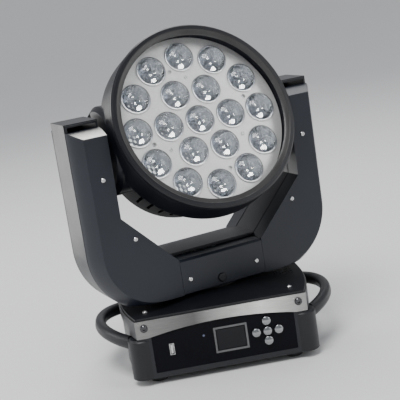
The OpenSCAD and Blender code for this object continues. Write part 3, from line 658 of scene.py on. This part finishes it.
def dome_profile(radius, rise):
    """Spherical cap as (radius, z), from rim to pole."""
    sphere = (radius * radius + rise * rise) / (2 * rise)
    profile = []
    for k in range(DOME_STEPS + 1):
        angle = math.asin(radius / sphere) * (1 - k / DOME_STEPS)
        profile.append((sphere * math.sin(angle),
                        SEAT_HEIGHT + rise - sphere * (1 - math.cos(angle))))
    return profile


def pebbled_lens(bm, front, lens_radius, at):
    """Solid lens: domed front, back face covered in shallow round facets."""
    wave = 2 * math.pi / FACET_PITCH

    def relief(x, y):
        # Three waves 60 degrees apart, whose sum runs from -1.5 to 3.
        waves = (math.cos(wave * x) + math.cos(wave * (0.5 * x + 0.866 * y))
                 + math.cos(wave * (0.5 * x - 0.866 * y)))
        fade = min(1.0, max(0.0, (lens_radius - math.hypot(x, y)) / FACET_FADE))
        return BACK_HEIGHT + FACET_HEIGHT * fade * (waves + 1.5) / 2.25

    tip = bm.verts.new((at[0], at[1], at[2] + relief(0, 0)))
    rings = [ring(bm, at, lens_radius * part, relief, LENS_SEGMENTS) for part in BACK_RINGS]
    rings += [ring(bm, at, radius, z, LENS_SEGMENTS) for radius, z in front[:-1]]
    pole = bm.verts.new((at[0], at[1], at[2] + front[-1][1]))
    for k in range(LENS_SEGMENTS):
        after = (k + 1) % LENS_SEGMENTS
        bm.faces.new((tip, rings[0][k], rings[0][after]))
        bm.faces.new((pole, rings[-1][k], rings[-1][after]))
    for a, b in zip(rings, rings[1:]):
        bridge(bm, a, b)


def lens_domes(places):
    bm = bmesh.new()
    for x, y, back_z, front_z, radius in places:
        dome_radius = radius - DOME_INSET
        rise = front_z - back_z - SEAT_HEIGHT - DOME_POLE_GAP
        pebbled_lens(bm, dome_profile(dome_radius, rise), dome_radius, (x, y, back_z))
    obj = new_object("lens_domes", bm, MATS["lens_clear"], "lens_carriage")
    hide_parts("lenses")
    obj.visible_shadow = False
    return obj


def lens_rims(places):
    """Seat round each lens, with a UV map that spans its width."""
    bm = bmesh.new()
    for x, y, back_z, _, radius in places:
        section = [                                             # (radius, z)
            (SEAT_BORE, 0.00005), (radius - 0.0001, 0.00005),
            (radius, 0.0002), (radius, 0.0014),
            (radius - 0.0001, SEAT_HEIGHT), (radius - 0.0004, SEAT_HEIGHT),
            (radius - 0.0005, 0.0014), (radius - 0.0005, 0.0003), (SEAT_BORE, 0.0003)]
        lathe(bm, section, (x, y, back_z), LENS_SEGMENTS)
    layer = bm.loops.layers.uv.new("around")
    for face in bm.faces:
        for loop in face.loops:
            p = loop.vert.co
            x, y, _, _, radius = min(places, key=lambda c: (c[0] - p.x) ** 2 + (c[1] - p.y) ** 2)
            loop[layer].uv = ((p.x - x) / radius * 0.5 + 0.5, (p.y - y) / radius * 0.5 + 0.5)
    new_object("lens_rims", bm, seat_material("m_lens_seat"), "lens_carriage")


def lens_cups(places):
    """Silvered cups behind the lenses, open at both ends."""
    inner = []
    for k in range(CUP_STEPS + 1):
        t = k / CUP_STEPS
        inner.append((CUP_BACK_RADIUS + (CUP_FRONT_RADIUS - CUP_BACK_RADIUS) * t ** CUP_FLARE,
                      CUP_BACK + CUP_DEPTH * t))
    outer = [(radius + CUP_WALL[0], z + CUP_WALL[1]) for radius, z in reversed(inner)]
    bm = bmesh.new()
    for x, y, back_z, _, _ in places:
        lathe(bm, inner + outer, (x, y, back_z), count=48)
    material = metal("m_lens_cup", (0.24, 0.255, 0.28), rough=0.26, scale=220, depth=3e-4,
                     wear=0.2, metallic=0.9)
    new_object("lens_cups", bm, material, "lens_carriage")


LENSES = lens_places()
domes = lens_domes(LENSES)
lens_rims(LENSES)
lens_cups(LENSES)

# ------------------------------------------------------------ fan finger guard
GUARD_RINGS = (0.010, 0.018, 0.026, 0.034, 0.042)
RING_WIRE, SPOKE_WIRE = 0.00085, 0.0009         # wire radii
SPOKE_START, SPOKE_END = 0.0095, 0.0485
WIRE_SHIFT = 0.0002                             # rings sit this far behind, spokes before
LUG_PLACE, LUG_SHIFT = 0.047, 0.0001
LUG_SECTION = ((0.0016, -0.0009), (0.0034, -0.0009), (0.0034, 0.0007), (0.0016, 0.0007))


def fan_guard():
    """Wire rings on four diagonal spokes, each with a small lug near its outer end."""
    heights = [(HEAD_INV @ v.co).z for v in NODES["fan_grille"].data.vertices]
    middle = (min(heights) + max(heights)) / 2
    bm = bmesh.new()
    for radius in GUARD_RINGS:
        torus(bm, radius, RING_WIRE, middle - WIRE_SHIFT)
    for degrees in (45, 135, 225, 315):
        x, y = math.cos(math.radians(degrees)), math.sin(math.radians(degrees))
        z = middle + WIRE_SHIFT
        rod(bm, (SPOKE_START * x, SPOKE_START * y, z), (SPOKE_END * x, SPOKE_END * y, z),
            SPOKE_WIRE)
        lathe(bm, LUG_SECTION, (LUG_PLACE * x, LUG_PLACE * y, middle + LUG_SHIFT), count=24)
    guard = new_object("fan_guard_wires", bm, MATS["wire_steel"], "head")
    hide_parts("fan_grille")


fan_guard()

# ------------------------------------------------------------ floor and world
FLOOR_GAP = 0.0002          # floor below the feet
FLAT_RADIUS = 2.9
BOWL_RADIUS = 3.2           # curve that turns the floor up into a wall


def make_floor():
    profile = [(0.0, 0.0), (1.2, 0.0), (FLAT_RADIUS, 0.0)]
    for degrees in range(4, 85, 4):
        angle = math.radians(degrees)
        profile.append((FLAT_RADIUS + BOWL_RADIUS * math.sin(angle),
                        BOWL_RADIUS - BOWL_RADIUS * math.cos(angle)))
    bm = bmesh.new()
    lathe(bm, profile, (0, 0, 0), count=120, closed=False)
    bm.normal_update()
    inside = Vector((0, 0, 2))
    for face in bm.faces:
        if face.normal.dot(inside - face.calc_center_median()) < 0:
            face.normal_flip()
    mesh = bpy.data.meshes.new("floor")
    bm.to_mesh(mesh)
    bm.free()
    for polygon in mesh.polygons:
        polygon.use_smooth = True
    floor = bpy.data.objects.new("floor", mesh)
    floor.location.z = cad_lo.z - FLOOR_GAP
    bpy.context.scene.collection.objects.link(floor)
    mesh.materials.append(floor_material("m_floor"))


def make_world():
    world = bpy.data.worlds.new("studio")
    bpy.context.scene.world = world
    world.use_nodes = True
    background = world.node_tree.nodes["Background"]
    background.inputs["Color"].default_value = (0.93, 0.95, 1.0, 1)
    background.inputs["Strength"].default_value = 0.5


make_floor()
make_world()

# ------------------------------------------------------------ camera
CAM_POS = above_feet(-0.115034, -1.457922, 0.526763)
AIM = above_feet(0.004, 0.0, 0.212)
# The camera's axes before it is turned the shortest way to face AIM.
right = Vector((0.946861, -0.308742, -0.090178))
up = Vector((0.186047, 0.297019, 0.936572))
back = Vector((-0.262374, -0.903581, 0.338676))
turn = (-back).rotation_difference((AIM - CAM_POS).normalized())
right, up, back = turn @ right, turn @ up, turn @ back

cam_data = bpy.data.cameras.new("camera")
cam = bpy.data.objects.new("camera", cam_data)
bpy.context.scene.collection.objects.link(cam)
bpy.context.scene.camera = cam
cam.matrix_world = placed(right, up, back, CAM_POS)
cam_data.sensor_width = 36.0
cam_data.lens = 98.0
cam_data.clip_start = 0.05
cam_data.clip_end = 50

# ------------------------------------------------------------ lights
CENTRE = (cad_lo + cad_hi) / 2


def area(name, pos, size, power, target=CENTRE, color=(1, 1, 1)):
    """Area light at pos, facing target."""
    light = bpy.data.lights.new(name, "AREA")
    light.shape = "RECTANGLE"
    light.size, light.size_y = size
    light.energy = power
    light.color = color
    obj = bpy.data.objects.new(name, light)
    bpy.context.scene.collection.objects.link(obj)
    obj.location = pos
    obj.rotation_mode = "QUATERNION"
    obj.rotation_quaternion = (target - Vector(pos)).to_track_quat("-Z", "Y")
    obj.visible_camera = False
    return obj


def card(name, point, normal, distance, size, radiance, color, only):
    """Reflector seen only in the gloss of some objects, where point mirrors the camera."""
    sight = (point - CAM_POS).normalized()
    normal = normal.normalized()
    mirrored = sight - 2 * sight.dot(normal) * normal
    obj = area(name, point + mirrored * distance, size,
               radiance * math.pi * size[0] * size[1], point, color)
    if size[0] == size[1]:
        obj.data.shape = "DISK"
    obj.visible_diffuse = False
    obj.visible_transmission = False
    receivers = bpy.data.collections.new("lit_by_" + name)
    for receiver in only:
        receivers.objects.link(receiver)
    obj.light_linking.receiver_collection = receivers


# name, place, (width, height), watts
FILL_LIGHTS = (
    ("key", (-0.5, -1.0, 2.2), (1.0, 1.0), 40),
    ("left", (-2.0, 0.3, 0.9), (1.4, 1.2), 14),
    ("right", (1.7, -0.9, 1.1), (0.8, 1.2), 7),
    ("top_back", (0.2, 1.2, 2.0), (1.6, 0.8), 22),
)
for name, pos, size, power in FILL_LIGHTS:
    area(name, pos, size, power)

# Reflections in the lens domes: name, image place right and up in dome radii as the camera
# sees it, distance, diameter, radiance, colour
WHITE = (1, 1, 1)
GLINTS = (
    ("glint_low", 0.33, -0.25, 0.55, 0.34, 75, WHITE),
    ("glint_mid", 0.15, 0.04, 1.2, 0.3, 50, WHITE),
    ("glint_top", 0.0, 0.32, 1.2, 0.26, 40, WHITE),
    ("glint_side", 0.38, 0.14, 1.2, 0.2, 40, WHITE),
    ("sky", -0.40, 0.30, 1.3, 0.9, 2.0, (0.75, 0.86, 1.0)),
)
FACE = HEAD @ Vector((0, 0, 0.062))
TO_CAM = (CAM_POS - FACE).normalized()
for name, x, y, distance, diameter, radiance, color in GLINTS:
    normal = right * x + up * y + TO_CAM * math.sqrt(max(0.0, 1 - x * x - y * y))
    card(name, FACE, normal, distance, (diameter, diameter), radiance, color, [domes])

# Sheen on the -X arm: its outer side, and the top of its front cover
YOKE_TURN = YOKE.to_3x3()
SIDE_LIT = ("yoke_frame", "arm_cover_front_left", "arm_cover_rear_left",
            "arm_cover_front_right", "arm_cover_rear_right", "head_drum", "front_ring")
card("side_left", YOKE @ above_feet(-0.176, 0.0, 0.30), YOKE_TURN @ Vector((-1, 0, 0)),
     distance=0.8, size=(0.5, 0.7), radiance=2.2, color=(1.0, 0.99, 0.97),
     only=[NODES[name] for name in SIDE_LIT])
card("top_patch", YOKE @ above_feet(-0.155, -0.03, 0.41), YOKE_TURN @ Vector((0, -0.5, 0.866)),
     distance=1.3, size=(0.4, 0.4), radiance=42, color=(1.0, 0.98, 0.9),
     only=[NODES["arm_cover_front_left"]])
